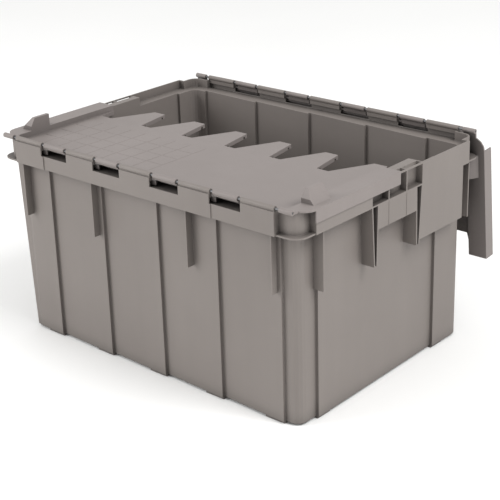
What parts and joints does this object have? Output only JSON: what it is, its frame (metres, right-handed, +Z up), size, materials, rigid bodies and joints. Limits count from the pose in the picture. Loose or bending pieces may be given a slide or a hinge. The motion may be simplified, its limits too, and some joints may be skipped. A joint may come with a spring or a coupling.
{
  "type": "attached lid tote",
  "caption": "Rectangular moulded storage tote with stepped ribbed walls, wide rim, hand holds, and two toothed interlocking lid halves hinged on steel rods along the long sides.",
  "frame": {"origin": "centre of the base panel, on the floor", "axes": "+Z up, +X along the length, the closed front lid hinges on the -Y side and the open rear lid hangs on the +Y side"},
  "size_m": [0.714, 0.5727, 0.413],
  "materials": {
    "moulded_polyethylene": "moulded satin grain",
    "lid_polyethylene": "moulded satin grain",
    "rod_steel": "drawn wire"
  },
  "bodies": {
    "tote": {"tote_body": "moulded_polyethylene", "front_hinge_rod": "rod_steel", "rear_hinge_rod": "rod_steel"},
    "front_lid_leaf": {"front_lid": "lid_polyethylene"},
    "rear_lid_leaf": {"rear_lid": "lid_polyethylene"}
  },
  "joints": [
    {"name": "front_lid_hinge", "type": "hinge", "parent": "tote", "child": "front_lid_leaf", "pos_m": [0, -0.258, 0.391], "axis": [1, 0, 0], "range_deg": [0, 264]},
    {"name": "rear_lid_hinge", "type": "hinge", "parent": "tote", "child": "rear_lid_leaf", "pos_m": [0, 0.258, 0.391], "axis": [1, 0, 0], "range_deg": [0, 264]}
  ]
}
